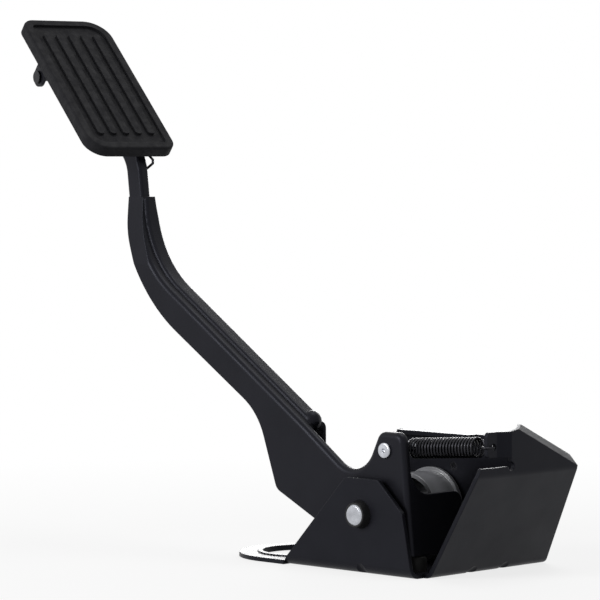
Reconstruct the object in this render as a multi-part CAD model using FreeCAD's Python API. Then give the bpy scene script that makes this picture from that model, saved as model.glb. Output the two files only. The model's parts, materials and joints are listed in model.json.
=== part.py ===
import FreeCAD, Part
import math
import os

# Accelerator pedal with a hinged pad, a folded mounting bracket and a rotary position sensor.
# Millimetres. +X runs along the bracket towards its sloped end wall, +Y along the pivot axis
# towards the sensor, +Z up. The origin is on the mounting face, straight below the pivot axis
# and in the middle plane of the pedal arm.

Vec = FreeCAD.Vector
UP = Vec(0, 0, 1)
ALONG_X = Vec(1, 0, 0)
ALONG_Y = Vec(0, 1, 0)

# Bracket sheet and its folds
sheet = 2.5
fold_radius = 6.0
floor_right = 44.0
floor_far = 97.0
lobe_radius = 40.0
lobe_centre_x = -81.0
lobe_hole_radius = 26.0
lobe_rim_width = 3.0
lobe_rim_height = 0.8
fixing_hole_radius = 3.5
fixing_edge = 11.0
fixing_spacing = 52.0
dart_radius = 4.5
dart_depth = 1.6
wall_dart_places = (30.0, 58.0)

# Near side plate, in the plane of the arm
near_plate_top = 54.5
near_plate_top_left = -12.0
near_plate_top_right = 13.5
near_plate_shoulder_x = 32.0
near_plate_shoulder_z = 37.0
near_plate_right = 39.0
near_plate_left = -61.0
near_plate_corner = 3.0

# Sloped end wall and the spring tab on it
wall_lean = 38.0
wall_fold_height = 60.0
wall_strip_height = 4.5
wall_near_edge = -5.0
wall_near_edge_top = -8.0
wall_far_edge_top = 79.0
wall_step_y = 20.5
wall_peak_height = 91.0
wall_peak_width = 6.0
wall_far_height = 67.0
wall_lip_width = 6.0
wall_lip_cut = 10.0
relief_radius = 2.6
tab_offset = 4.0
tab_bend_length = 8.0
tab_length = 8.0
tab_bottom = 69.5
tab_height = 14.5
tab_hole_radius = 1.9
tab_hole_from_end = 5.4
tab_hole_below_middle = 1.2
tab_corner = 2.5

# Pivot, measured along its axis
pivot_height = 34.0
pin_radius = 6.0
pin_shoulder = 0.8
pin_flat_depth = 1.5
near_gap = 3.5
bush_wall = 2.0
bush_flange_radius = 11.0
bush_flange = 1.5
snout_length = 5.0
snout_wall = 1.0
pin_proud = 0.8
tube_wall = 3.0
tube_far_length = 12.5
drum_radius = 21.0
drum_length = 22.0
drum_wall = 2.4
drum_hub_wall = 3.0
drum_back_lip = 2.0
end_play = 0.3
running_fit = 0.05
ring_thickness = 1.2
ring_width = 3.0
ring_groove = 1.0

# Pedal arm
arm_sheet = 2.5
channel_width = 20.0
arm_fold = 3.2
bar_thickness = 7.6
bar_width = 12.4
bar_edge = 2.0
press_angle = 14.0
ear_flange = 4.5
notch_height = 46.0
notch_radius = 14.0
apron_far = 36.0
apron_corner = 6.0
taper_length = 41.0
bead_height = 2.2
bead_round = 2.0
bead_near = -3.5
bead_far = 7.0
lump_radius = 6.0
lump_sink = 1.5
lump_inset = 4.0
lump_y = 2.0

# Outline of the channel seen along the pivot axis
top_left_x = -205.7
top_right_x = -190.5
top_lean_right = 2.0
channel_top = 213.0
knee_upper_x = -204.2
knee_upper_z = 192.0
knee_upper_radius = 50.0
knee_lower_x = -184.0
knee_lower_z = 149.2
knee_lower_radius = 110.0
knee_right_z = 175.6
knee_right_radius = 66.0
knee_middle_x = -194.8
knee_middle_z = 168.7
waist_x = -88.0
waist_z = 87.0
waist_radius = 42.0
heel_x = -72.5
heel_z = 43.0
heel_radius = 7.0
toe_x = -15.0
toe_z = 15.0
toe_radius = 16.0
channel_right = 34.5
channel_bottom = 12.0
ear_right = 27.0
ear_left = 8.5
ear_top = 81.5
ear_radius = 6.0
saddle_x = -6.4
saddle_z = 50.1
saddle_radius = 17.0
web_end_x = -51.4
web_end_z = 82.4
web_end_radius = 10.0

# Upper bar and pad hinge
bar_foot_x = -197.0
bar_foot_z = 188.0
bar_bend_x = -203.0
bar_bend_z = 238.0
bar_bend_radius = 26.0
hinge_x = -259.0
hinge_z = 287.0
hinge_pin_radius = 2.5
hinge_fit = 0.08
eye_radius = 7.0
eye_length = 20.0

# Pad, in its own frame: across, up the pad, and out of its face
pad_yaw = 12.2
pad_lift = 47.9
pad_width = 60.0
pad_length = 120.5
pad_thickness = 7.0
pad_front = 16.0
pad_below_hinge = 23.3
pad_aside = 1.0
pad_corner_small = 8.0
pad_corner_large = 16.0
pad_corner_low = 13.0
pad_border = 5.5
pad_edge = 1.6
tread_depth = 1.6
rib_count = 5
rib_width = 4.6
rib_corner = 2.1
plate_thickness = 2.0
plate_margin = 2.5
lug_thickness = 2.0
lug_inset = 1.5
lug_radius = 6.0
pin_head_radius = 4.0
pin_head = 1.6
torsion_wire = 1.6
torsion_turns = 5
torsion_pitch = 1.7
torsion_gap = 0.4
torsion_leg = 22.0
tail_height = 9.0
tail_reach = 3.0
tail_return = 4.5

# Return spring between the ear and the tab
rivet_x = 14.0
rivet_z = 71.0
rivet_radius = 2.8
rivet_head_radius = 4.5
rivet_head = 1.8
rivet_dimple = 1.2
rivet_spare = 2.0
spring_y = 7.0
spring_radius = 5.3
spring_wire = 1.4
spring_pitch = 2.2
spring_turns = 22
loop_clearance = 0.3

# Sensor plate and sensor
plate_left = -40.0
wing_gap = 10.0
plate_wing_z = 57.0
plate_wing_top = 74.0
plate_top = 77.5
plate_top_left = -30.0
plate_top_right = 36.0
plate_corner = 5.0
plate_lip = 6.0
plate_foot = 14.0
body_half_x = 24.0
body_half_z = 18.5
body_wall = 3.0
body_depth = 21.5
body_corner = 6.0
cover_thickness = 2.5
cover_lip = 1.5
cover_fit = 0.1
ear_hole_x = 14.0
ear_hole_z = 24.0
sensor_ear_radius = 6.0
sensor_ear_thickness = 5.0
screw_radius = 2.5
screw_head_radius = 4.5
screw_head = 3.2
screw_fit = 0.3
rotor_radius = 12.0
rotor_thickness = 8.0
rotor_gap = 1.5
magnet_half = 5.0
magnet_thickness = 3.0
magnet_corner = 1.0
board_gap = 1.2
board_thickness = 1.6
post_radius = 2.2
terminal_count = 6
terminal_pitch = 3.4
terminal_size = 1.2
terminal_reach = 16.0
terminal_on_board = 6.0
socket_depth = 20.0
socket_wall = 2.0
socket_clear_y = 5.0
socket_clear_z = 3.0
seal_gap = 0.05

# Rubber stops
stop_radius = 6.0
stop_x = 29.0
stop_stem_radius = 2.5
stop_gap = 0.3
stop_edge = 1.5
full_stop_x = -41.0
full_stop_length = 12.0
full_stop_width = 19.0
full_stop_edge = 2.5

# Levels along the pivot axis, worked out from the sizes above
arm_near = -channel_width / 2
arm_far = channel_width / 2
near_inner = arm_near - near_gap
near_outer = near_inner - sheet
tube_near = near_inner + bush_flange + end_play
drum_start = arm_far + tube_far_length
cup_start = drum_start + drum_wall
drum_end = drum_start + drum_length + drum_wall
far_inner = drum_end + end_play + bush_flange
far_outer = far_inner + sheet
bush_end = far_outer + sheet
ring_start = bush_end + end_play
body_front = far_outer + body_wall
rotor_start = ring_start + ring_thickness + rotor_gap
rotor_end = rotor_start + rotor_thickness
magnet_end = rotor_end + magnet_thickness
board_start = magnet_end + board_gap
body_end = far_outer + body_depth
pin_end = rotor_end
bush_radius = pin_radius + bush_wall
tube_radius = pin_radius + tube_wall
wall_x = floor_right + wall_lean
lobe_centre_y = near_outer + lobe_radius
wall_strip_start = floor_right - 2 * fold_radius
plate_right = floor_right - wing_gap
plate_wing_x = floor_right + wall_lean * plate_wing_z / wall_fold_height - wing_gap


def pivot_point(y):
    """Point on the pivot axis."""
    return Vec(0, y, pivot_height)


def rounded_wire(points, radii, place):
    """Closed wire through the corner points, each rounded by its radius, mapped by place(a, b)."""
    count = len(points)
    starts, middles, ends = [], [], []
    for index in range(count):
        corner = Vec(points[index][0], points[index][1], 0)
        before = Vec(points[index - 1][0], points[index - 1][1], 0) - corner
        after = Vec(points[(index + 1) % count][0], points[(index + 1) % count][1], 0) - corner
        before.normalize()
        after.normalize()
        half = before.getAngle(after) / 2
        reach = radii[index] / math.tan(half)
        bisector = before + after
        bisector.normalize()
        inset = radii[index] / math.sin(half) - radii[index]
        starts.append(corner + before * reach)
        middles.append(corner + bisector * inset)
        ends.append(corner + after * reach)
    edges = []
    for index in range(count):
        if radii[index] > 0:
            bend = [place(p.x, p.y) for p in (starts[index], middles[index], ends[index])]
            edges.append(Part.Arc(*bend).toShape())
        here = ends[index]
        there = starts[(index + 1) % count]
        if (there - here).Length > 1e-6:
            edges.append(Part.LineSegment(place(here.x, here.y), place(there.x, there.y)).toShape())
    return Part.Wire(edges)


def slab_y(points, radii, y_from, y_to):
    """Outline in the XZ plane carried from one Y level to another."""
    wire = rounded_wire(points, radii, lambda a, b: Vec(a, y_from, b))
    return Part.Face(wire).extrude(Vec(0, y_to - y_from, 0))


def slab_z(points, radii, z_from, z_to):
    """Outline in the XY plane carried from one height to another."""
    wire = rounded_wire(points, radii, lambda a, b: Vec(a, b, z_from))
    return Part.Face(wire).extrude(Vec(0, 0, z_to - z_from))


def slab_x(points, radii, x_from, x_to):
    """Outline in the YZ plane carried from one X level to another."""
    wire = rounded_wire(points, radii, lambda a, b: Vec(x_from, a, b))
    return Part.Face(wire).extrude(Vec(x_to - x_from, 0, 0))


def block(low, high):
    """Box between two opposite corners."""
    return Part.makeBox(high[0] - low[0], high[1] - low[1], high[2] - low[2], Vec(*low))


def round_y(radius, y_from, y_to, x=0.0, z=pivot_height):
    """Cylinder along the pivot direction."""
    return Part.makeCylinder(radius, y_to - y_from, Vec(x, y_from, z), ALONG_Y)


def rounded_rectangle(half_a, half_b, centre=(0.0, 0.0)):
    """Corner points of a rectangle about a centre."""
    signs = ((-1, -1), (1, -1), (1, 1), (-1, 1))
    return [(centre[0] + i * half_a, centre[1] + j * half_b) for i, j in signs]


def thick_line(points, half_width, bend_radius):
    """Outline and corner radii of a flat strip that follows three points, with square ends."""
    start, middle, end = (Vec(p[0], p[1], 0) for p in points)
    first = (middle - start).normalize()
    second = (end - middle).normalize()
    side_first = Vec(-first.y, first.x, 0)
    side_second = Vec(-second.y, second.x, 0)
    turn = first.getAngle(second)
    mitre = (side_first + side_second).normalize() * (half_width / math.cos(turn / 2))
    left_turn = first.cross(second).z > 0
    inner = max(bend_radius - half_width, 1.0)
    outer = bend_radius + half_width
    left_radius, right_radius = (inner, outer) if left_turn else (outer, inner)
    corners = [
        start + side_first * half_width, middle + mitre, end + side_second * half_width,
        end - side_second * half_width, middle - mitre, start - side_first * half_width,
    ]
    return [(p.x, p.y) for p in corners], [0, left_radius, 0, 0, right_radius, 0]


def round_wire_path(points, radius):
    """Bent round wire through the points, with a ball at every corner."""
    pieces = []
    for here, there in zip(points, points[1:]):
        pieces.append(Part.makeCylinder(radius, (there - here).Length, here, there - here))
    balls = [Part.makeSphere(radius, p) for p in points[1:-1]]
    solid = pieces[0]
    for piece in pieces[1:] + balls:
        solid = solid.fuse(piece)
    return solid.removeSplitter()


def coil(radius, wire_radius, pitch, turns):
    """Helical wire about +Z, starting at height 0 on the local +X side."""
    helix = Part.makeHelix(pitch, pitch * turns, radius)
    ring = Part.Circle(Vec(radius, 0, 0), ALONG_Y, wire_radius)
    section = Part.Wire([ring.toShape()])
    return Part.Wire(helix.Edges).makePipeShell([section], True, True)


def edges_at(shape, test):
    """Edges whose middle point passes the test."""
    found = []
    for edge in shape.Edges:
        middle = edge.valueAt((edge.FirstParameter + edge.LastParameter) / 2)
        if test(middle):
            found.append(edge)
    return found


# Bracket

def floor_plate():
    """Floor with its rounded lobe, up to the fold of the end wall."""
    left = [(lobe_centre_x, near_outer), (floor_right, near_outer), (floor_right, floor_far)]
    back_left = lobe_centre_x + lobe_radius + sheet
    left += [(back_left, floor_far), (lobe_centre_x, lobe_centre_y + lobe_radius)]
    plate = slab_z(left, [0, 0, 0, lobe_radius / 2, 0], 0, sheet)
    centre = Vec(lobe_centre_x, lobe_centre_y, 0)
    plate = plate.fuse(Part.makeCylinder(lobe_radius, sheet, centre))
    rim = Part.makeCylinder(lobe_hole_radius + lobe_rim_width, sheet + lobe_rim_height, centre)
    return plate.fuse(rim).cut(Part.makeCylinder(lobe_hole_radius, sheet + lobe_rim_height, centre))


def near_side_plate():
    """Upright plate on the near side that carries the near end of the pivot, with its fold."""
    inner_fold = fold_radius - sheet
    profile = [
        (near_outer, 0), (near_outer + 2 * fold_radius, 0), (near_outer + 2 * fold_radius, sheet),
        (near_inner, sheet), (near_inner, near_plate_top), (near_outer, near_plate_top),
    ]
    band = slab_x(profile, [fold_radius, 0, 0, inner_fold, 0, 0], near_plate_left, near_plate_right)
    outline = [
        (near_plate_left, -sheet), (near_plate_right, -sheet), (near_plate_right, sheet),
        (near_plate_shoulder_x, near_plate_shoulder_z), (near_plate_top_right, near_plate_top),
        (near_plate_top_left, near_plate_top), (near_plate_left, sheet),
    ]
    corner = near_plate_corner
    radii = [0, 0, 0, corner, corner, corner, 0]
    return band.common(slab_y(outline, radii, near_outer - 1, near_outer + 3 * fold_radius))


def end_wall():
    """Wall that leans outwards from the floor, then stands upright above its upper fold."""
    shift = sheet * math.tan(wall_slope().getAngle(UP) / 2)
    floor_shift = sheet * math.tan(wall_slope().getAngle(ALONG_X) / 2)
    start = wall_strip_start
    profile = [
        (start, 0), (floor_right, 0), (wall_x, wall_fold_height), (wall_x, wall_peak_height + sheet),
        (wall_x - sheet, wall_peak_height + sheet), (wall_x - sheet, wall_fold_height + shift),
        (floor_right - floor_shift, sheet), (start, sheet),
    ]
    inner_fold = fold_radius - sheet
    band = slab_y(profile, [0, fold_radius, fold_radius, 0, 0, inner_fold, inner_fold, 0],
                  near_outer - sheet, floor_far + sheet)
    step_top = wall_fold_height + wall_strip_height
    peak, far_top = wall_top_edge()
    outline = [
        (wall_near_edge, -sheet), (floor_far, -sheet), (wall_far_edge_top, wall_fold_height),
        (far_top.y, far_top.z), (peak.y, peak.z), (wall_step_y, tab_bottom + tab_height),
        (wall_step_y, step_top), (wall_near_edge_top + sheet, step_top),
        (wall_near_edge_top, wall_fold_height),
    ]
    radii = [0, 0, 0, 0, 0, 0, 0, sheet / 2, 0]
    panel = band.common(slab_x(outline, radii, start - sheet, wall_x + sheet))
    relief_start = Vec(wall_x - 1.5 * sheet, wall_step_y, step_top)
    return panel.cut(Part.makeCylinder(relief_radius, 2 * sheet, relief_start, ALONG_X))


def wall_slope():
    """Direction up the sloped part of the end wall."""
    return Vec(wall_lean, 0, wall_fold_height).normalize()


def wall_top_edge():
    """Ends of the slanted fold near the top of the end wall, from which the lip leans back."""
    peak = Vec(wall_x, wall_step_y + wall_peak_width, wall_peak_height - wall_lip_width)
    far_top = Vec(wall_x, wall_far_edge_top, wall_far_height - wall_lip_width)
    return peak, far_top


def end_wall_lip():
    """Lip that leans back from the slanted top edge of the end wall, cut at a slant at its near end."""
    peak, far_top = wall_top_edge()
    rise = Vec(-wall_lip_width, 0, wall_lip_width)
    along = (far_top - peak).normalize()
    corners = [peak, far_top, far_top + rise, peak + rise + along * wall_lip_cut]
    return Part.Face(Part.makePolygon(corners + corners[:1])).extrude(Vec(-sheet, 0, 0))


def spring_tab():
    """Stepped tab on the end wall with the hole for the spring's hook."""
    back = wall_x - sheet
    step_end = wall_step_y - tab_bend_length
    tip = step_end - tab_length
    outline = [
        (back, wall_step_y + sheet), (wall_x, wall_step_y + sheet), (wall_x, wall_step_y),
        (wall_x - tab_offset, step_end), (wall_x - tab_offset, tip), (back - tab_offset, tip),
        (back - tab_offset, step_end + sheet / 2), (back, wall_step_y + sheet / 2),
    ]
    tab = slab_z(outline, [0] * len(outline), tab_bottom, tab_bottom + tab_height)
    tab = tab.makeFillet(tab_corner, edges_at(
        tab, lambda p: abs(p.y - tip) < 0.01 and abs(p.x - back + tab_offset - sheet / 2) < 0.01))
    hole = Part.makeCylinder(tab_hole_radius, 2 * sheet, tab_hole() - ALONG_X * sheet, ALONG_X)
    return tab.cut(hole)


def tab_hole():
    """Middle of the hole in the spring tab."""
    tip = wall_step_y - tab_bend_length - tab_length
    height = tab_bottom + tab_height / 2 - tab_hole_below_middle
    return Vec(wall_x - tab_offset - sheet / 2, tip + tab_hole_from_end, height)


def dart(corner, outward, half_angle):
    """Rounded hollow pressed into a fold from outside, across the line of the fold."""
    direction = Vec(outward).normalize()
    setback = fold_radius * (1 / math.sin(half_angle) - 1)
    centre = corner + direction * (dart_radius - dart_depth - setback)
    across = direction.cross(UP).cross(direction).normalize()
    length = 4 * fold_radius
    return Part.makeCylinder(dart_radius, length, centre - across * (length / 2), across)


def near_dart():
    """Stiffening hollow in the fold of the near plate."""
    return dart(Vec(0, near_outer, 0), Vec(0, -1, -1), math.pi / 4)


def wall_darts():
    """Stiffening hollows in the lower fold of the end wall."""
    slope = wall_slope()
    outward = Vec(slope.z, 0, -slope.x) - UP
    half_angle = (math.pi - slope.getAngle(ALONG_X)) / 2
    return [dart(Vec(floor_right, y, 0), outward, half_angle) for y in wall_dart_places]


def fixing_points():
    """Centres of the fixing holes in the floor, behind the sensor."""
    y = floor_far - fixing_edge
    right = floor_right - fixing_edge - fold_radius
    return [Vec(right, y, 0), Vec(right - fixing_spacing, y, 0)]


def bracket_floor():
    """Flat floor of the folded bracket, with its lobe and holes, between the two fold strips."""
    shape = floor_plate()
    shape = shape.cut(block((near_plate_left, near_outer - 1, -1),
                            (floor_right + 1, near_outer + 2 * fold_radius, sheet + 1)))
    shape = shape.cut(block((wall_strip_start, near_outer - 1, -1),
                            (floor_right + 1, floor_far + 1, sheet + 1)))
    for point in fixing_points():
        shape = shape.cut(Part.makeCylinder(fixing_hole_radius, 3 * sheet, point - UP * sheet))
    stem_hole = Part.makeCylinder(stop_stem_radius, sheet, Vec(stop_x, 0, 0))
    return shape.cut(stem_hole).removeSplitter()


def bracket_near_plate():
    """Near side of the folded bracket, with its fold and the hole for the near bush."""
    shape = near_side_plate().cut(end_wall())
    shape = shape.cut(round_y(bush_radius, near_outer - 1, near_inner + 1))
    return shape.cut(near_dart()).removeSplitter()


def bracket_end_wall():
    """Sloped end of the folded bracket, with its lip and the spring tab."""
    shape = end_wall().fuse(end_wall_lip()).fuse(spring_tab())
    for hollow in wall_darts():
        shape = shape.cut(hollow)
    return shape.removeSplitter()


def sensor_plate():
    """Upright plate on the far side, with a wing, a folded top lip and a foot on the floor."""
    side = pivot_height + ear_hole_z
    outline = [
        (plate_left, sheet), (plate_right, sheet), (plate_wing_x, plate_wing_z),
        (plate_wing_x, plate_wing_top), (plate_top_right, plate_top), (plate_top_left, plate_top),
        (plate_left, side),
    ]
    plate = slab_y(outline, [0, 0] + [plate_corner] * 5, far_inner, far_outer)
    lip = block((plate_top_left + plate_corner, far_inner - plate_lip, plate_top - sheet),
                (plate_top_right - plate_corner, far_inner, plate_top))
    foot = block((plate_left, far_inner - plate_foot, sheet), (plate_right, far_inner, 2 * sheet))
    shape = plate.fuse(lip).fuse(foot).removeSplitter()
    shape = shape.cut(round_y(bush_radius, far_inner - 1, far_outer + 1))
    for x, z in sensor_screw_points():
        shape = shape.cut(round_y(screw_radius, far_inner - 1, far_outer + 1, x, z))
    return shape


# Pivot

def near_bush():
    """Plastic bush in the near plate, with a tapered snout outside and a flange inside."""
    flange = round_y(bush_flange_radius, near_inner, near_inner + bush_flange)
    body = round_y(bush_radius, near_outer, near_inner)
    snout = Part.makeCone(pin_radius + snout_wall, bush_radius, snout_length,
                          pivot_point(near_outer - snout_length), ALONG_Y)
    bore = round_y(pin_radius + running_fit, near_outer - snout_length, near_inner + bush_flange)
    return flange.fuse(body).fuse(snout).cut(bore).removeSplitter()


def far_bush():
    """Plastic bush in the sensor plate."""
    flange = round_y(bush_flange_radius, far_inner - bush_flange, far_inner)
    body = round_y(bush_radius, far_inner, bush_end)
    bore = round_y(pin_radius + running_fit, far_inner - bush_flange, bush_end)
    return flange.fuse(body).cut(bore).removeSplitter()


def pivot_pin():
    """Steel pin that turns with the arm, with a groove for its ring and a flat for the rotor."""
    start = near_outer - snout_length - pin_proud
    pin = round_y(pin_radius, start, pin_end)
    pin = pin.makeChamfer(pin_shoulder, edges_at(pin, lambda p: abs(p.y - start) < 0.01))
    groove = round_y(pin_radius + 1, ring_start, ring_start + ring_thickness)
    groove = groove.cut(round_y(pin_radius - ring_groove, ring_start, ring_start + ring_thickness))
    return pin.cut(groove).cut(rotor_flat())


def rotor_flat():
    """Space above the flat at the sensor end of the pin."""
    low = (-pin_radius - 1, rotor_start, pivot_height + pin_radius - pin_flat_depth)
    return block(low, (pin_radius + 1, rotor_end + 1, pivot_height + pin_radius + 1))


def retaining_ring():
    """Open spring ring in the groove of the pin."""
    ring = round_y(pin_radius + ring_width - ring_groove, ring_start, ring_start + ring_thickness)
    ring = ring.cut(round_y(pin_radius - ring_groove, ring_start, ring_start + ring_thickness))
    mouth = pin_radius - ring_groove
    gap = block((-mouth / 2, ring_start, pivot_height - 2 * pin_radius),
                (mouth / 2, ring_start + ring_thickness, pivot_height))
    return ring.cut(gap)


def pivot_tube():
    """Steel tube welded through the arm and pressed on the pin."""
    tube = round_y(tube_radius, tube_near, drum_start)
    return tube.cut(round_y(pin_radius, tube_near, drum_start))


def friction_drum():
    """Plastic cup on the pin, open towards the arm, with a lip round its back."""
    cup = round_y(drum_radius, cup_start, drum_end)
    cup = cup.cut(round_y(drum_radius - drum_wall, cup_start, drum_end - drum_wall))
    lip = round_y(drum_radius + drum_back_lip, drum_end - drum_wall, drum_end)
    hub = round_y(pin_radius + drum_hub_wall, drum_start, drum_end)
    shape = cup.fuse(lip).fuse(hub)
    return shape.cut(round_y(pin_radius, drum_start, drum_end)).removeSplitter()


# Pedal arm

def channel_outline():
    """Corners and radii of the channel seen along the pivot axis, from its top left."""
    corners = [
        (top_left_x, channel_top, 0), (knee_upper_x, knee_upper_z, knee_upper_radius),
        (knee_lower_x, knee_lower_z, knee_lower_radius),
        (waist_x, waist_z, waist_radius), (heel_x, heel_z, heel_radius), (toe_x, toe_z, toe_radius),
        (channel_right, channel_bottom, 0), (ear_right, ear_top, ear_radius),
        (ear_left, ear_top, ear_radius), (saddle_x, saddle_z, saddle_radius),
        (web_end_x, web_end_z, web_end_radius),
        (top_right_x, knee_right_z, knee_right_radius), (top_right_x - top_lean_right, channel_top, 0),
    ]
    return [(x, z) for x, z, r in corners], [r for x, z, r in corners]


def channel():
    """Folded sheet channel: near and far sides, joined by a web along the upper and right edges."""
    points, radii = channel_outline()
    body = slab_y(points, radii, arm_near, arm_far)
    folds = edges_at(body, lambda p: abs(abs(p.y) - arm_far) < 0.01 and on_web(p))
    body = body.makeFillet(arm_fold, folds).fuse(web_bead())
    inside = arm_near + arm_sheet
    face = Part.Face(rounded_wire(points, radii, lambda a, b: Vec(a, inside, b)))
    hollow = face.makeOffset2D(-arm_sheet).extrude(Vec(0, -2 * inside, 0))
    hollow = hollow.makeFillet(arm_fold - arm_sheet, edges_at(
        hollow, lambda p: abs(abs(p.y) + inside) < 0.01 and on_web(p)))
    solid_top = block((top_left_x - arm_sheet, arm_near, channel_top - taper_length),
                      (top_right_x + taper_length, arm_far, channel_top))
    hollow = hollow.cut(solid_top)
    body = body.cut(hollow)
    for count in range(1, 4):
        moved = hollow.copy()
        moved.translate(Vec(-arm_sheet * count, 0, -arm_sheet * count))
        body = body.cut(moved)
    for side in (-1, 1):
        body = body.cut(taper_wedge(side))
    return body


def taper_wedge(side):
    """Space beside the top of the channel, where it narrows to the thickness of the bar."""
    start = channel_top - taper_length
    narrow = side * bar_thickness / 2
    wide = side * (arm_far + 1)
    corners = [(side * arm_far, start), (narrow, channel_top), (narrow, channel_top + 1),
               (wide, channel_top + 1), (wide, start)]
    left = top_left_x - arm_fold
    right = top_right_x + taper_length
    return slab_x(corners, [0] * len(corners), left, right)


def web_bead():
    """Rounded bead pressed out along the web."""
    end = web_end_point()
    path = [(top_right_x - top_lean_right, channel_top), (top_right_x, knee_right_z), (end.x, end.z)]
    points, radii = thick_line(path, bead_height, knee_right_radius)
    bead = slab_y(points, radii, bead_near, bead_far)
    sides = edges_at(bead, lambda p: min(abs(p.y - bead_near), abs(p.y - bead_far)) < 0.01)
    return bead.makeFillet(bead_round, sides)


def web_direction():
    """Direction up the straight part of the web."""
    return Vec(top_right_x - web_end_x, 0, knee_right_z - web_end_z).normalize()


def web_end_point():
    """Point on the web where the bead ends, a little above the web's own end."""
    return Vec(web_end_x, 0, web_end_z) + web_direction() * lump_inset


def web_lump():
    """Rounded lump that closes the end of the bead and of the channel under it."""
    inward = web_direction().cross(ALONG_Y)
    return Part.makeSphere(lump_radius, web_end_point() + inward * lump_sink + ALONG_Y * lump_y)


def on_web(point):
    """Whether a point of the channel's outline is on its upper or right edge."""
    chord_start = Vec(knee_middle_x, 0, knee_middle_z)
    chord = Vec(channel_right, 0, channel_bottom) - chord_start
    offset = point - chord_start
    return chord.x * offset.z - chord.z * offset.x > 0 and point.x > knee_middle_x


def apron():
    """Sheet that carries the right edge of the channel on across the front of the drum."""
    lean = (ear_right - channel_right) / (ear_top - channel_bottom)
    top_x = channel_right + lean * (notch_height - channel_bottom)
    corners = [
        (channel_right, channel_bottom), (top_x, notch_height),
        (top_x - arm_sheet, notch_height), (channel_right - arm_sheet, channel_bottom),
    ]
    sheet_strip = slab_y(corners, [0] * len(corners), arm_far - arm_fold, apron_far)
    far_edges = edges_at(sheet_strip, lambda p: abs(p.y - apron_far) < 0.01 and (
        abs(p.z - notch_height) < 0.01 or abs(p.z - channel_bottom) < 0.01))
    return sheet_strip.makeFillet(apron_corner, far_edges)


def upper_bar():
    """Flat bar that rises from the channel and bends back to the pad's hinge."""
    path = [(bar_foot_x, bar_foot_z), (bar_bend_x, bar_bend_z), (hinge_x, hinge_z)]
    points, radii = thick_line(path, bar_width / 2, bar_bend_radius)
    bar = slab_y(points, radii, -bar_thickness / 2, bar_thickness / 2)
    return bar.makeFillet(bar_edge, edges_at(bar, lambda p: abs(abs(p.y) - bar_thickness / 2) < 0.01
                                             and abs(p.z - bar_foot_z) > 2 and abs(p.x - hinge_x) > 8))


def hinge_eye():
    """Boss round the pad's hinge pin at the tip of the bar."""
    across = pad_axis(0)
    centre = Vec(hinge_x, 0, hinge_z)
    return Part.makeCylinder(eye_radius, eye_length, centre - across * (eye_length / 2), across)


def pedal_arm():
    """Stamped arm: channel, upper bar and hinge eye, with the holes for the pins through it."""
    shape = channel()
    spare = block((web_end_x, arm_near + ear_flange, notch_height),
                  (channel_right + 1, arm_far + 1, web_end_z + 1))
    spare = spare.makeFillet(notch_radius, edges_at(
        spare, lambda p: abs(p.z - notch_height) < 0.01 and abs(p.y - arm_near - ear_flange) < 0.01))
    shape = shape.cut(spare).fuse(apron()).fuse(web_lump()).fuse(upper_bar()).fuse(hinge_eye())
    across = pad_axis(0)
    start = Vec(hinge_x, 0, hinge_z) - across * eye_length
    shape = shape.cut(Part.makeCylinder(hinge_pin_radius + hinge_fit, 2 * eye_length, start, across))
    shape = shape.cut(round_y(tube_radius, arm_near - 1, arm_far + 1))
    shape = shape.cut(round_y(rivet_radius, arm_near - 1, arm_far, rivet_x, rivet_z))
    return shape.removeSplitter()


# Return spring

def spring_rivet():
    """Headed rivet through the ear that carries the spring's loop."""
    front = arm_near - rivet_head
    head = round_y(rivet_head_radius, front, arm_near, rivet_x, rivet_z)
    head = head.makeFillet(rivet_head / 2, edges_at(head, lambda p: abs(p.y - front) < 0.01))
    head = head.cut(Part.makeSphere(rivet_dimple, Vec(rivet_x, front, rivet_z)))
    shank_end = spring_y + spring_wire + rivet_spare
    shank = round_y(rivet_radius, arm_near, shank_end, rivet_x, rivet_z)
    collar = round_y(rivet_radius + spring_wire, shank_end, shank_end + rivet_head, rivet_x, rivet_z)
    return head.fuse(shank).fuse(collar).removeSplitter()


def return_spring():
    """Extension spring with a loop on the rivet and a hook through the tab."""
    wire = spring_wire / 2
    loop_radius = rivet_radius + loop_clearance + wire
    start = Vec(rivet_x, spring_y, rivet_z)
    end = tab_hole()
    axis = (end - start).normalize()
    loop = Part.makeTorus(loop_radius, wire, start, ALONG_Y)
    body_length = spring_pitch * spring_turns
    lead = loop_radius + spring_wire
    turn = FreeCAD.Rotation(UP, axis)
    wound = coil(spring_radius, wire, spring_pitch, spring_turns)
    wound.Placement = FreeCAD.Placement(start + axis * lead, turn)
    radial = turn.multVec(Vec(spring_radius, 0, 0))
    near_joint = start + axis * lead
    far_joint = start + axis * (lead + body_length)
    near_leg = round_wire_path([start + axis * loop_radius, near_joint, near_joint + radial], wire)
    behind = end + axis * (sheet + spring_wire)
    tip = behind - UP * (3 * spring_wire)
    far_leg = round_wire_path([far_joint + radial, far_joint, behind, tip], wire)
    return Part.makeSolid(wound.fuse(loop).fuse(near_leg).fuse(far_leg).removeSplitter().Shells[0])


# Pad

def pad_axis(index):
    """Unit vectors of the pad's frame: across the pad, up the pad, out of its face."""
    yaw = math.radians(pad_yaw)
    lift = math.radians(pad_lift)
    across = Vec(math.sin(yaw), math.cos(yaw), 0)
    out = Vec(math.cos(lift) * math.cos(yaw), -math.cos(lift) * math.sin(yaw), math.sin(lift))
    return (across, out.cross(across), out)[index]


def to_pad_frame(shape):
    """Move a shape from the pad's own frame to its place on the arm."""
    across, upward, out = pad_axis(0), pad_axis(1), pad_axis(2)
    matrix = FreeCAD.Matrix(across.x, upward.x, out.x, hinge_x, across.y, upward.y, out.y, 0,
                            across.z, upward.z, out.z, hinge_z, 0, 0, 0, 1)
    shape.Placement = FreeCAD.Placement(matrix)
    return shape


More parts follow.
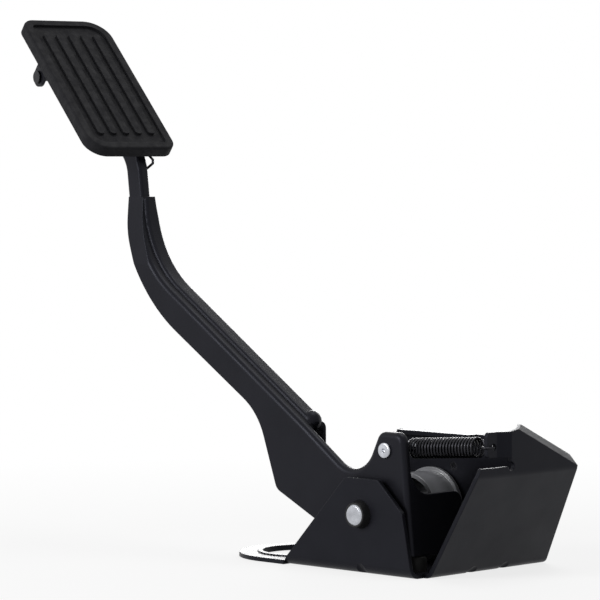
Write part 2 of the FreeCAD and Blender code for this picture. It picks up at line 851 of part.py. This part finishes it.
def pad_outline(inset):
    """Corners and radii of the pad's outline, moved inwards by the inset."""
    half = pad_width / 2 - inset
    left = pad_aside - half
    right = pad_aside + half
    low = -pad_below_hinge - pad_length / 2 + inset
    high = -pad_below_hinge + pad_length / 2 - inset
    radii = [pad_corner_low, pad_corner_small, pad_corner_large, pad_corner_small]
    corners = [(left, low), (right, low), (right, high), (left, high)]
    return corners, [max(r - inset, 1.0) for r in radii]


def pad_cover():
    """Rubber tread: raised border and ribs on its face, wrapped round the edge of the plate."""
    outer, outer_radii = pad_outline(0)
    back = pad_front - pad_thickness
    cover = slab_z(outer, outer_radii, back, pad_front)
    cover = cover.makeFillet(pad_edge, edges_at(cover, lambda p: abs(p.z - pad_front) < 0.01))
    inner, inner_radii = pad_outline(pad_border)
    recess = slab_z(inner, inner_radii, pad_front - tread_depth, pad_front + 1)
    pitch = (pad_width - 2 * pad_border - rib_width) / rib_count
    low = inner[0][1] + pad_corner_small
    high = inner[2][1] - pad_corner_small
    for index in range(rib_count):
        centre = inner[0][0] + pitch * (index + 0.5) + rib_width / 2
        rib = rounded_rectangle(rib_width / 2, (high - low) / 2, (centre, (high + low) / 2))
        recess = recess.cut(slab_z(rib, [rib_corner] * 4, pad_front - tread_depth, pad_front + 1))
    seat, seat_radii = pad_outline(plate_margin)
    pocket = slab_z(seat, seat_radii, back, back + plate_thickness)
    return to_pad_frame(cover.cut(recess).cut(pocket))


def pad_plate():
    """Steel plate behind the tread, with two folded lugs that hold the hinge pin."""
    seat, seat_radii = pad_outline(plate_margin)
    back = pad_front - pad_thickness
    plate = slab_z(seat, seat_radii, back, back + plate_thickness)
    outer = lug_outer()
    for inner_face in (-outer, outer - lug_thickness):
        lug = Part.makeCylinder(lug_radius, lug_thickness, Vec(inner_face, 0, 0), ALONG_X)
        lug = lug.fuse(block((inner_face, -lug_radius, 0), (inner_face + lug_thickness, lug_radius, back)))
        plate = plate.fuse(lug)
    bore = Part.makeCylinder(hinge_pin_radius, 2 * outer, Vec(-outer, 0, 0), ALONG_X)
    return to_pad_frame(plate.cut(bore).removeSplitter())


def lug_outer():
    """Distance from the middle of the pad to the outer face of a lug."""
    return pad_width / 2 - plate_margin - lug_inset


def pad_hinge_pin():
    """Headed pin through both lugs and the eye of the arm."""
    outer = lug_outer()
    pin = Part.makeCylinder(hinge_pin_radius, 2 * outer, Vec(-outer, 0, 0), ALONG_X)
    for start in (-outer - pin_head, outer):
        pin = pin.fuse(Part.makeCylinder(pin_head_radius, pin_head, Vec(start, 0, 0), ALONG_X))
    return to_pad_frame(pin.removeSplitter())


def in_pad_frame(point):
    """A point of the arm, given in the pad's own frame."""
    offset = point - Vec(hinge_x, 0, hinge_z)
    return Vec(offset.dot(pad_axis(0)), offset.dot(pad_axis(1)), offset.dot(pad_axis(2)))


def tail_points():
    """Places of the torsion spring's tail, which bows out beside the front edge of the bar."""
    edge = bar_bend_x + bar_width / 2
    beside = bar_thickness / 2 + torsion_wire
    top = Vec(edge, beside, bar_bend_z)
    bow = top + Vec(tail_reach, 0, -tail_height / 4)
    low_bow = top + Vec(tail_reach, 0, -tail_height / 2)
    return [top, bow, low_bow, top + Vec(-tail_return, 0, -tail_height)]


def pad_torsion_spring():
    """Torsion spring beside the eye: one leg on the back of the pad, one along the bar."""
    wire = torsion_wire / 2
    radius = hinge_pin_radius + torsion_wire + wire
    start = eye_length / 2 + torsion_wire
    wound = coil(radius, wire, torsion_pitch, torsion_turns)
    wound.Placement = FreeCAD.Placement(Vec(start, 0, 0), FreeCAD.Rotation(UP, ALONG_X))
    first = wound.Placement.multVec(Vec(radius, 0, 0))
    last = wound.Placement.multVec(Vec(radius, 0, torsion_pitch * torsion_turns))
    behind = Vec(0, 0, -2 * torsion_wire)
    pad_back = pad_front - pad_thickness - wire - torsion_gap
    below = -radius - 2 * torsion_wire
    pad_path = [last, last + behind, Vec(last.x, below, last.z + behind.z), Vec(last.x, below, pad_back),
                Vec(last.x, below - torsion_leg, pad_back)]
    bar_path = [first, first + behind] + [in_pad_frame(point) for point in tail_points()]
    legs = round_wire_path(pad_path, wire).fuse(round_wire_path(bar_path, wire))
    shape = wound.fuse(legs).removeSplitter()
    return to_pad_frame(Part.makeSolid(shape.Shells[0]))


# Sensor

def sensor_screw_points():
    """Places of the sensor's two screws on its plate."""
    return [(ear_hole_x, pivot_height + ear_hole_z), (-ear_hole_x, pivot_height - ear_hole_z)]


def body_rectangle(inset):
    """Outline of the sensor body about the pivot axis, moved inwards by the inset."""
    return rounded_rectangle(body_half_x - inset, body_half_z - inset, (0, pivot_height))


def terminal_row():
    """Level of the row of terminals along the pivot axis."""
    return board_start - terminal_size / 2


def sensor_housing():
    """Moulded sensor body with two screw ears, four board posts and a connector socket."""
    corner = [body_corner] * 4
    inner_corner = [body_corner - body_wall] * 4
    shape = slab_y(body_rectangle(0), corner, far_outer, body_end)
    for x, z in sensor_screw_points():
        ear = round_y(sensor_ear_radius, far_outer, far_outer + sensor_ear_thickness, x, z)
        side = math.copysign(1, z - pivot_height)
        low = min(z, pivot_height + side * (body_half_z - 1))
        high = max(z, pivot_height + side * (body_half_z - 1))
        web = block((x - sensor_ear_radius, far_outer, low),
                    (x + sensor_ear_radius, far_outer + sensor_ear_thickness, high))
        shape = shape.fuse(ear).fuse(web)
    half_row = terminal_pitch * (terminal_count - 1) / 2 + terminal_size / 2
    inner_y = socket_clear_y + terminal_size / 2
    inner_z = half_row + socket_clear_z
    mouth = -body_half_x - socket_depth
    row = terminal_row()
    shell = block((mouth, row - inner_y - socket_wall, pivot_height - inner_z - socket_wall),
                  (-body_half_x, row + inner_y + socket_wall, pivot_height + inner_z + socket_wall))
    shell = shell.cut(block((mouth, row - inner_y, pivot_height - inner_z),
                            (-body_half_x, row + inner_y, pivot_height + inner_z)))
    shape = shape.fuse(shell)
    shape = shape.cut(slab_y(body_rectangle(body_wall), inner_corner, body_front, body_end))
    shape = shape.cut(round_y(bush_flange_radius, far_outer, body_front))
    for x, z in board_post_points():
        shape = shape.fuse(round_y(post_radius, body_front, board_start, x, z))
    for x, z in sensor_screw_points():
        ear_outer = far_outer + sensor_ear_thickness
        shape = shape.cut(round_y(screw_radius + screw_fit, far_outer, ear_outer, x, z))
    for slot in terminal_boxes():
        shape = shape.cut(slot)
    return shape.removeSplitter()


def board_post_points():
    """Places of the four posts that carry the circuit board."""
    x = body_half_x - body_wall - post_radius
    z = body_half_z - body_wall - post_radius
    return [(i * x, pivot_height + j * z) for i in (-1, 1) for j in (-1, 1)]


def terminal_boxes():
    """Flat terminals from the board through the wall into the socket."""
    row = terminal_row()
    boxes = []
    for index in range(terminal_count):
        z = pivot_height + (index - (terminal_count - 1) / 2) * terminal_pitch
        low = (-body_half_x - terminal_reach, row - terminal_size / 2, z - terminal_size / 2)
        inner_end = -body_half_x + body_wall + terminal_on_board
        high = (inner_end, row + terminal_size / 2, z + terminal_size / 2)
        boxes.append(block(low, high))
    return boxes


def sensor_terminals():
    """The row of terminals as separate solids."""
    return Part.makeCompound(terminal_boxes())


def sensor_board():
    """Circuit board on its posts."""
    inset = body_wall + cover_fit
    corner = [body_corner - inset] * 4
    return slab_y(body_rectangle(inset), corner, board_start, board_start + board_thickness)


def sensor_cover():
    """Cover over the open back of the sensor body, with a lip inside its wall."""
    plate = slab_y(body_rectangle(0), [body_corner] * 4, body_end, body_end + cover_thickness)
    outside = body_wall + cover_fit
    inside = outside + cover_lip
    lip_start = board_start + board_thickness
    lip = slab_y(body_rectangle(outside), [body_corner - outside] * 4, lip_start, body_end)
    lip = lip.cut(slab_y(body_rectangle(inside), [body_corner - inside] * 4, lip_start, body_end))
    return plate.fuse(lip).removeSplitter()


def sensor_rotor():
    """Rotor keyed on the flat of the pin."""
    rotor = round_y(rotor_radius, rotor_start, rotor_end)
    bore = round_y(pin_radius, rotor_start, rotor_end).cut(rotor_flat())
    return rotor.cut(bore)


def rotor_magnet():
    """Magnet on the face of the rotor."""
    square = rounded_rectangle(magnet_half, magnet_half, (0, pivot_height))
    return slab_y(square, [magnet_corner] * 4, rotor_end, magnet_end)


def sensor_seal():
    """Sealing ring between the far bush and the sensor body."""
    gap = (bush_flange_radius - bush_radius) / 2
    return Part.makeTorus(bush_radius + gap, gap - seal_gap, pivot_point(far_outer + gap), ALONG_Y)


def sensor_screws():
    """Two screws that hold the sensor to its plate."""
    screws = []
    seat = far_outer + sensor_ear_thickness
    for x, z in sensor_screw_points():
        head = round_y(screw_head_radius, seat, seat + screw_head, x, z)
        shank = round_y(screw_radius, far_inner, seat, x, z)
        screws.append(head.fuse(shank).removeSplitter())
    return Part.makeCompound(screws)


# Stops

def idle_stop():
    """Rubber buffer under the arm where it comes to rest."""
    top = channel_bottom - stop_gap
    head = Part.makeCylinder(stop_radius, top - sheet, Vec(stop_x, 0, sheet))
    head = head.makeFillet(stop_edge, edges_at(head, lambda p: abs(p.z - top) < 0.01))
    stem = Part.makeCylinder(stop_stem_radius, sheet, Vec(stop_x, 0, 0))
    return head.fuse(stem).removeSplitter()


def full_stop():
    """Rubber block on the floor that ends the travel of the arm."""
    slope = (toe_z - heel_z) / (toe_x - heel_x)
    angle = math.radians(press_angle)
    line_angle = math.atan(slope) + angle
    distance = pivot_height - (heel_z - slope * heel_x)
    drop = distance * math.cos(math.atan(slope))
    left = full_stop_x - full_stop_length / 2
    right = full_stop_x + full_stop_length / 2
    base = pivot_height - drop / math.cos(line_angle)
    top = min(base + math.tan(line_angle) * x for x in (left, right)) - stop_gap
    outline = [(left, sheet), (right, sheet), (right, top), (left, top)]
    radii = [0, 0, full_stop_edge, full_stop_edge]
    return slab_y(outline, radii, -full_stop_width / 2, full_stop_width / 2)


PARTS = {
    "bracket_floor": bracket_floor,
    "bracket_near_plate": bracket_near_plate,
    "bracket_end_wall": bracket_end_wall,
    "sensor_plate": sensor_plate,
    "near_pivot_bush": near_bush,
    "far_pivot_bush": far_bush,
    "pivot_pin": pivot_pin,
    "pin_retaining_ring": retaining_ring,
    "arm_pivot_tube": pivot_tube,
    "friction_drum": friction_drum,
    "pedal_arm": pedal_arm,
    "spring_rivet": spring_rivet,
    "return_spring": return_spring,
    "pad_plate": pad_plate,
    "pad_cover": pad_cover,
    "pad_hinge_pin": pad_hinge_pin,
    "pad_torsion_spring": pad_torsion_spring,
    "sensor_housing": sensor_housing,
    "sensor_cover": sensor_cover,
    "sensor_rotor": sensor_rotor,
    "rotor_magnet": rotor_magnet,
    "sensor_board": sensor_board,
    "sensor_terminals": sensor_terminals,
    "sensor_seal": sensor_seal,
    "sensor_screws": sensor_screws,
    "idle_stop": idle_stop,
    "full_travel_stop": full_stop,
}

os.makedirs("parts", exist_ok=True)
for name, make in PARTS.items():
    shape = make()
    shape.exportStep("parts/" + name + ".step")
    print(name, "solids", len(shape.Solids), "valid", shape.isValid(), "volume", round(shape.Volume, 1))
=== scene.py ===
import json
import math

import bmesh
import bpy
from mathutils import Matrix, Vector


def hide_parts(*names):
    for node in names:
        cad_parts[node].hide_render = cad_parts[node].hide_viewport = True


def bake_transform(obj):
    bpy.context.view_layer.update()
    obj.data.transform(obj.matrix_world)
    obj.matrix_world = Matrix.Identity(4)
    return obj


# Looks for the accelerator pedal: materials for the solids and the wound return spring.
# The scene is in metres. Sizes of the spring are in millimetres.

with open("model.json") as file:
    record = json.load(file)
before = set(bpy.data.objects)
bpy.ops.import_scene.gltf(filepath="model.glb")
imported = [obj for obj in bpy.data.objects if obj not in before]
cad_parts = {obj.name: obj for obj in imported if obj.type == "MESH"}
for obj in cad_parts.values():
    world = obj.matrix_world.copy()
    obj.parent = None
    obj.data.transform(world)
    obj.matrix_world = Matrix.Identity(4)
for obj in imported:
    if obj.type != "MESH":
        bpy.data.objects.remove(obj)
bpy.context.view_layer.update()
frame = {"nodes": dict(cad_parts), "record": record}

MM = 0.001

# Places taken from the solids, in millimetres
RIVET = Vector((14.0, 7.0, 71.0))
TAB_HOLE = Vector((76.75, 9.9, 75.55))
SPRING_RADIUS = 5.3
SPRING_WIRE = 0.7
SPRING_TURNS = 22
SPRING_PITCH = 2.2
LOOP_RADIUS = 3.8
LOOP_START_ANGLE = -60.0
LOOP_SWEEP = 330.0
FIRST_COIL_SHARE = 0.55
END_RING_LEAN = 0.45
END_RING_SPREAD = 0.3
CURVE_STEPS = 20
END_RING_STEPS = 16
WIRE_SIDES = 10
TAB_HALF_THICKNESS = 1.25
TAB_EDGE_FROM_HOLE = 5.4

# Camera
CAMERA_PLACE = (1.2373, -1.3465, 0.2388)
CAMERA_TURN = 44.0
CAMERA_LIFT = 2.6
CAMERA_LENS = 192.0
CAMERA_SENSOR = 36.0

# Light and floor
AMBIENT = 0.2
LAMP_TARGET = (-0.05, 0.0, 0.12)
SIDE_TARGET = (-0.1, 0.0, 0.15)
FLOOR_REACH = 14.0
FLOOR_DROP = 0.0002


# Material helpers

def new_material(name):
    """Empty node material with its shader and output."""
    material = bpy.data.materials.new(name)
    material.use_nodes = True
    tree = material.node_tree
    tree.nodes.clear()
    output = tree.nodes.new("ShaderNodeOutputMaterial")
    shader = tree.nodes.new("ShaderNodeBsdfPrincipled")
    tree.links.new(shader.outputs["BSDF"], output.inputs["Surface"])
    return material, tree, shader


def noise(tree, scale, detail=3.0, stretch=(1.0, 1.0, 1.0)):
    """Noise in the part's own coordinates, with about `scale` features per metre."""
    place = tree.nodes.new("ShaderNodeTexCoord")
    mapping = tree.nodes.new("ShaderNodeMapping")
    mapping.inputs["Scale"].default_value = stretch
    texture = tree.nodes.new("ShaderNodeTexNoise")
    texture.inputs["Scale"].default_value = scale
    texture.inputs["Detail"].default_value = detail
    tree.links.new(place.outputs["Object"], mapping.inputs["Vector"])
    tree.links.new(mapping.outputs["Vector"], texture.inputs["Vector"])
    return texture.outputs["Fac"]


def spread(tree, value, low, high, source_low=0.3, source_high=0.7):
    """Value carried from its own range to another one."""
    node = tree.nodes.new("ShaderNodeMapRange")
    node.inputs["From Min"].default_value = source_low
    node.inputs["From Max"].default_value = source_high
    node.inputs["To Min"].default_value = low
    node.inputs["To Max"].default_value = high
    tree.links.new(value, node.inputs["Value"])
    return node.outputs["Result"]


def mixed_colour(tree, factor, first, second):
    """Colour between two colours, given as plain values or as sockets."""
    node = tree.nodes.new("ShaderNodeMix")
    node.data_type = "RGBA"
    tree.links.new(factor, node.inputs["Factor"])
    for socket, colour in ((node.inputs[6], first), (node.inputs[7], second)):
        if isinstance(colour, tuple):
            socket.default_value = (*colour, 1.0)
        else:
            tree.links.new(colour, socket)
    return node.outputs[2]


def soft_edges(tree, radius):
    """Normal rounded over sharp edges."""
    bevel = tree.nodes.new("ShaderNodeBevel")
    bevel.samples = 6
    bevel.inputs["Radius"].default_value = radius
    return bevel.outputs["Normal"]


def edge_mask(tree, rounded, reach):
    """1 along edges and 0 on flat faces, from how far the rounded normal leaves the true one."""
    geometry = tree.nodes.new("ShaderNodeNewGeometry")
    product = tree.nodes.new("ShaderNodeVectorMath")
    product.operation = "DOT_PRODUCT"
    tree.links.new(rounded, product.inputs[0])
    tree.links.new(geometry.outputs["Normal"], product.inputs[1])
    return spread(tree, product.outputs["Value"], 1.0, 0.0, 1.0 - reach, 1.0)


def bump(tree, shader, height, distance, strength, base_normal=None):
    """Fine relief on the shader's normal."""
    node = tree.nodes.new("ShaderNodeBump")
    node.inputs["Strength"].default_value = strength
    node.inputs["Distance"].default_value = distance
    tree.links.new(height, node.inputs["Height"])
    if base_normal is not None:
        tree.links.new(base_normal, node.inputs["Normal"])
    tree.links.new(node.outputs["Normal"], shader.inputs["Normal"])


# Materials

def satin_paint(name, colour, edge_colour, shine, rough_low, rough_high, rounding):
    """Satin black coat on sheet steel: faint mottling, fine ripple and thin paint on the edges."""
    material, tree, shader = new_material(name)
    shader.inputs["Specular IOR Level"].default_value = shine
    shader.inputs["Specular Tint"].default_value = (0.8, 0.83, 1.0, 1.0)
    darker = tuple(0.8 * value for value in colour)
    mottle = mixed_colour(tree, spread(tree, noise(tree, 45.0), 0.0, 1.0), darker, colour)
    rounded = soft_edges(tree, rounding)
    edges = edge_mask(tree, rounded, 0.12)
    worn = tree.nodes.new("ShaderNodeMath")
    worn.operation = "MULTIPLY"
    tree.links.new(edges, worn.inputs[0])
    tree.links.new(spread(tree, noise(tree, 160.0), 0.15, 0.8), worn.inputs[1])
    painted = mixed_colour(tree, worn.outputs["Value"], mottle, edge_colour)
    tree.links.new(painted, shader.inputs["Base Color"])
    tree.links.new(spread(tree, noise(tree, 70.0), rough_low, rough_high), shader.inputs["Roughness"])
    bump(tree, shader, noise(tree, 700.0, 2.0), 0.00006, 0.04, rounded)
    return material


def grained_rubber(name, colour, grain):
    """Dull black rubber with a fine moulded grain and dusty high spots."""
    material, tree, shader = new_material(name)
    shader.inputs["Specular IOR Level"].default_value = 0.16
    dusty = tuple(1.2 * value for value in colour)
    mottle = spread(tree, noise(tree, 90.0, 5.0), 0.0, 1.0)
    tree.links.new(mixed_colour(tree, mottle, colour, dusty), shader.inputs["Base Color"])
    tree.links.new(spread(tree, noise(tree, 220.0), 0.62, 0.8), shader.inputs["Roughness"])
    bump(tree, shader, noise(tree, grain, 3.0), 0.0003, 0.5, soft_edges(tree, 0.0005))
    return material


def moulded_plastic(name, colour, shine, rough_low, rough_high, grain_strength):
    """Moulded plastic with a faint surface texture."""
    material, tree, shader = new_material(name)
    shader.inputs["Specular IOR Level"].default_value = shine
    lighter = tuple(1.35 * value for value in colour)
    mottle = spread(tree, noise(tree, 60.0), 0.0, 1.0)
    tree.links.new(mixed_colour(tree, mottle, colour, lighter), shader.inputs["Base Color"])
    tree.links.new(spread(tree, noise(tree, 130.0), rough_low, rough_high), shader.inputs["Roughness"])
    bump(tree, shader, noise(tree, 2200.0, 2.0), 0.0001, grain_strength, soft_edges(tree, 0.0005))
    return material


def bare_metal(name, colour, stain, rough_low, rough_high, stretch):
    """Bare metal with fine tool lines and slight staining."""
    material, tree, shader = new_material(name)
    shader.inputs["Metallic"].default_value = 1.0
    marks = spread(tree, noise(tree, 120.0, 4.0), 0.0, 1.0)
    tree.links.new(mixed_colour(tree, marks, colour, stain), shader.inputs["Base Color"])
    tree.links.new(spread(tree, noise(tree, 300.0), rough_low, rough_high), shader.inputs["Roughness"])
    bump(tree, shader, noise(tree, 900.0, 2.0, stretch), 0.0001, 0.2, soft_edges(tree, 0.0004))
    return material


def circuit_board(name):
    """Green lacquered board with paler track lines."""
    material, tree, shader = new_material(name)
    place = tree.nodes.new("ShaderNodeTexCoord")
    bricks = tree.nodes.new("ShaderNodeTexBrick")
    bricks.inputs["Scale"].default_value = 160.0
    bricks.inputs["Mortar Size"].default_value = 0.04
    bricks.inputs["Color1"].default_value = (0.015, 0.11, 0.045, 1.0)
    bricks.inputs["Color2"].default_value = (0.02, 0.13, 0.055, 1.0)
    bricks.inputs["Mortar"].default_value = (0.06, 0.24, 0.1, 1.0)
    turn = tree.nodes.new("ShaderNodeMapping")
    turn.inputs["Rotation"].default_value = (math.radians(90.0), 0.0, 0.0)
    tree.links.new(place.outputs["Object"], turn.inputs["Vector"])
    tree.links.new(turn.outputs["Vector"], bricks.inputs["Vector"])
    tree.links.new(bricks.outputs["Color"], shader.inputs["Base Color"])
    tree.links.new(spread(tree, noise(tree, 300.0), 0.25, 0.4), shader.inputs["Roughness"])
    bump(tree, shader, bricks.outputs["Fac"], 0.0001, 0.4)
    return material


# Colours of the paint, whole and thin, and the direction of the steel's tool lines
BRACKET_BLACK = (0.009, 0.0092, 0.0122)
ARM_BLACK = (0.0088, 0.0088, 0.0114)
THIN_PAINT = (0.018, 0.0185, 0.022)
STEEL_LINES = (1.0, 12.0, 1.0)

MATERIALS = {
    "bracket_paint": satin_paint("bracket_paint", BRACKET_BLACK, THIN_PAINT, 0.1, 0.34, 0.42, 0.0009),
    "arm_paint": satin_paint("arm_paint", ARM_BLACK, THIN_PAINT, 0.12, 0.32, 0.4, 0.0009),
    "black_plastic": moulded_plastic("black_plastic", (0.003, 0.003, 0.0034), 0.25, 0.4, 0.5, 0.1),
    "drum_plastic": moulded_plastic("drum_plastic", (0.2, 0.203, 0.215), 1.0, 0.16, 0.24, 0.02),
    "board_green": circuit_board("board_green"),
    "terminal_brass": bare_metal(
        "terminal_brass", (0.62, 0.45, 0.19), (0.45, 0.31, 0.13), 0.22, 0.35, STEEL_LINES),
    "stop_rubber": grained_rubber("stop_rubber", (0.012, 0.012, 0.012), 1500.0),
    "pad_rubber": grained_rubber("pad_rubber", (0.0046, 0.0046, 0.006), 2400.0),
    "bare_steel": bare_metal(
        "bare_steel", (0.56, 0.58, 0.62), (0.38, 0.39, 0.42), 0.24, 0.36, STEEL_LINES),
    "spring_steel": bare_metal(
        "spring_steel", (0.032, 0.032, 0.036), (0.018, 0.018, 0.021), 0.24, 0.34, STEEL_LINES),
    "magnet_grey": bare_metal(
        "magnet_grey", (0.16, 0.16, 0.17), (0.1, 0.1, 0.11), 0.45, 0.6, STEEL_LINES),
}


def dress_solids():
    """Give every solid the material of its slot in the record."""
    for entry in frame["record"]["subparts"]:
        node = frame["nodes"][entry["node"]]
        node.data.materials.clear()
        node.data.materials.append(MATERIALS[entry["material_slot"]])


# Geometry helpers

def mesh_object(name, vertices, faces, material):
    """Smooth-shaded mesh object with outward normals."""
    mesh = bpy.data.meshes.new(name)
    mesh.from_pydata([tuple(v * MM for v in vertex) for vertex in vertices], [], faces)
    shape = bmesh.new()
    shape.from_mesh(mesh)
    bmesh.ops.recalc_face_normals(shape, faces=shape.faces)
    shape.to_mesh(mesh)
    shape.free()
    for polygon in mesh.polygons:
        polygon.use_smooth = True
    mesh.materials.append(material)
    piece = bpy.data.objects.new(name, mesh)
    bpy.context.scene.collection.objects.link(piece)
    return piece


def tube(path, radius, sides):
    """Vertices and faces of a round wire along the path, with closed ends."""
    vertices, faces = [], []
    normal = None
    for index, point in enumerate(path):
        before = path[max(index - 1, 0)]
        after = path[min(index + 1, len(path) - 1)]
        along = (after - before).normalized()
        if normal is None:
            normal = along.orthogonal().normalized()
        normal = (normal - along * normal.dot(along)).normalized()
        side = along.cross(normal)
        for corner in range(sides):
            angle = 2 * math.pi * corner / sides
            outward = normal * math.cos(angle) + side * math.sin(angle)
            vertices.append(point + outward * radius)
    for ring in range(len(path) - 1):
        for corner in range(sides):
            here = ring * sides + corner
            there = ring * sides + (corner + 1) % sides
            faces.append((here, there, there + sides, here + sides))
    faces.append(tuple(range(sides)))
    faces.append(tuple(range(len(vertices) - sides, len(vertices))))
    return vertices, faces


# Pieces

def hook_points(start):
    """Hook that passes the near edge of the tab and enters its hole from the outer side."""
    past_edge = TAB_HOLE.y - TAB_EDGE_FROM_HOLE - 2 * SPRING_WIRE
    inner = TAB_HOLE.x - TAB_HALF_THICKNESS - 2 * SPRING_WIRE
    outer = TAB_HOLE.x + TAB_HALF_THICKNESS + 1.5 * SPRING_WIRE
    height = TAB_HOLE.z
    return [
        start, Vector((inner, past_edge + SPRING_WIRE, height)), Vector((TAB_HOLE.x, past_edge, height)),
        Vector((outer - SPRING_WIRE, past_edge + SPRING_WIRE, height)),
        Vector((outer, past_edge + 3 * SPRING_WIRE, height)),
        Vector((outer, TAB_HOLE.y - 2 * SPRING_WIRE, height)),
        Vector((outer - SPRING_WIRE, TAB_HOLE.y, height)), Vector((inner, TAB_HOLE.y, height)),
    ]


def return_spring():
    """Wound extension spring: loop on the rivet, coils, end ring and a hook through the tab."""
    axis = (TAB_HOLE - RIVET).normalized()
    up = Vector((0, 0, 1))
    up = (up - axis * up.dot(axis)).normalized()
    side = axis.cross(up)
    path = []
    for step in range(CURVE_STEPS + 1):
        angle = math.radians(LOOP_START_ANGLE + LOOP_SWEEP * step / CURVE_STEPS)
        path.append(RIVET + (axis * math.cos(angle) + up * math.sin(angle)) * LOOP_RADIUS)
    coil_start = LOOP_RADIUS + 2 * SPRING_WIRE
    for step in range(SPRING_TURNS * CURVE_STEPS + 1):
        turns = step / CURVE_STEPS
        angle = 2 * math.pi * turns - math.pi / 2
        radius = SPRING_RADIUS * min(1.0, FIRST_COIL_SHARE + turns)
        centre = RIVET + axis * (coil_start + SPRING_PITCH * turns)
        path.append(centre + (up * math.sin(angle) + side * math.cos(angle)) * radius)
    coil_end = coil_start + SPRING_PITCH * SPRING_TURNS
    ring_radius = SPRING_RADIUS - 2 * SPRING_WIRE
    ring_middle = RIVET + axis * (coil_end + 3 * SPRING_WIRE) - side * SPRING_WIRE
    for step in range(END_RING_STEPS + 1):
        angle = -math.pi / 2 + 1.5 * math.pi * step / END_RING_STEPS
        lean = axis * (END_RING_LEAN * ring_radius * math.cos(angle))
        aside = side * (END_RING_SPREAD * math.cos(angle))
        path.append(ring_middle + lean + up * (ring_radius * math.sin(angle)) + aside)
    path += hook_points(ring_middle)
    vertices, faces = tube(path, SPRING_WIRE, WIRE_SIDES)
    piece = mesh_object("wound_return_spring", vertices, faces, MATERIALS["spring_steel"])
    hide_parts("return_spring")
    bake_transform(piece)


# Stage, light and camera

def white_material():
    """White floor that keeps a faint shadow."""
    material = bpy.data.materials.new("white_floor")
    material.use_nodes = True
    tree = material.node_tree
    tree.nodes.clear()
    output = tree.nodes.new("ShaderNodeOutputMaterial")
    diffuse = tree.nodes.new("ShaderNodeBsdfDiffuse")
    diffuse.inputs["Color"].default_value = (0.86, 0.86, 0.86, 1.0)
    glow = tree.nodes.new("ShaderNodeEmission")
    glow.inputs["Color"].default_value = (1.0, 1.0, 1.0, 1.0)
    glow.inputs["Strength"].default_value = 1.0
    place = tree.nodes.new("ShaderNodeTexCoord")
    distance = tree.nodes.new("ShaderNodeVectorMath")
    distance.operation = "LENGTH"
    tree.links.new(place.outputs["Object"], distance.inputs[0])
    whiteness = spread(tree, distance.outputs["Value"], 0.8, 1.0, 0.25, 0.7)
    share = tree.nodes.new("ShaderNodeMath")
    share.operation = "MULTIPLY"
    tree.links.new(whiteness, share.inputs[1])
    mix = tree.nodes.new("ShaderNodeMixShader")
    tree.links.new(seen_rays(tree), share.inputs[0])
    tree.links.new(share.outputs["Value"], mix.inputs["Fac"])
    tree.links.new(diffuse.outputs["BSDF"], mix.inputs[1])
    tree.links.new(glow.outputs["Emission"], mix.inputs[2])
    tree.links.new(mix.outputs["Shader"], output.inputs["Surface"])
    return material


def seen_rays(tree):
    """1 for rays that see the background: from the camera, off gloss or through glass."""
    path = tree.nodes.new("ShaderNodeLightPath")
    first = tree.nodes.new("ShaderNodeMath")
    first.operation = "MAXIMUM"
    second = tree.nodes.new("ShaderNodeMath")
    second.operation = "MAXIMUM"
    tree.links.new(path.outputs["Is Camera Ray"], first.inputs[0])
    tree.links.new(path.outputs["Is Glossy Ray"], first.inputs[1])
    tree.links.new(first.outputs["Value"], second.inputs[0])
    tree.links.new(path.outputs["Is Transmission Ray"], second.inputs[1])
    return second.outputs["Value"]


def white_world(ambient):
    """White background with a dimmer even light on matt surfaces."""
    world = bpy.data.worlds.new("studio")
    bpy.context.scene.world = world
    world.use_nodes = True
    tree = world.node_tree
    tree.nodes.clear()
    output = tree.nodes.new("ShaderNodeOutputWorld")
    background = tree.nodes.new("ShaderNodeBackground")
    background.inputs["Color"].default_value = (1.0, 1.0, 1.0, 1.0)
    tree.links.new(spread(tree, seen_rays(tree), ambient, 1.0, 0.0, 1.0), background.inputs["Strength"])
    tree.links.new(background.outputs["Background"], output.inputs["Surface"])


def floor():
    """Large white floor under the mounting face."""
    mesh = bpy.data.meshes.new("floor")
    turns = ((-1, -1), (1, -1), (1, 1), (-1, 1))
    corners = [(x * FLOOR_REACH, y * FLOOR_REACH, 0.0) for x, y in turns]
    mesh.from_pydata(corners, [], [(0, 1, 2, 3)])
    mesh.materials.append(white_material())
    piece = bpy.data.objects.new("floor", mesh)
    piece.location.z = -FLOOR_DROP
    bpy.context.scene.collection.objects.link(piece)


def soft_box(name, place, target, width, height, power):
    """Rectangular soft lamp that faces a target."""
    lamp = bpy.data.lights.new(name, "AREA")
    lamp.shape = "RECTANGLE"
    lamp.size = width
    lamp.size_y = height
    lamp.energy = power
    piece = bpy.data.objects.new(name, lamp)
    piece.location = place
    direction = Vector(target) - Vector(place)
    piece.rotation_euler = direction.to_track_quat("-Z", "Y").to_euler()
    bpy.context.scene.collection.objects.link(piece)


def camera():
    """Camera at the photograph's viewing angle."""
    data = bpy.data.cameras.new("camera")
    data.lens = CAMERA_LENS
    data.sensor_width = CAMERA_SENSOR
    data.sensor_fit = "HORIZONTAL"
    piece = bpy.data.objects.new("camera", data)
    piece.location = CAMERA_PLACE
    piece.rotation_euler = (math.radians(90.0 - CAMERA_LIFT), 0.0, math.radians(CAMERA_TURN))
    bpy.context.scene.collection.objects.link(piece)
    bpy.context.scene.camera = piece


dress_solids()
return_spring()
floor()
white_world(AMBIENT)
soft_box("key", (0.1, 0.35, 1.75), LAMP_TARGET, width=1.0, height=0.8, power=9.0)
soft_box("side", (-0.6, -1.8, 0.8), SIDE_TARGET, width=0.9, height=0.9, power=28.0)
soft_box("rim", (-1.2, 1.5, 0.5), LAMP_TARGET, width=1.0, height=0.8, power=18.0)
camera()

bpy.context.scene.view_settings.view_transform = "Standard"
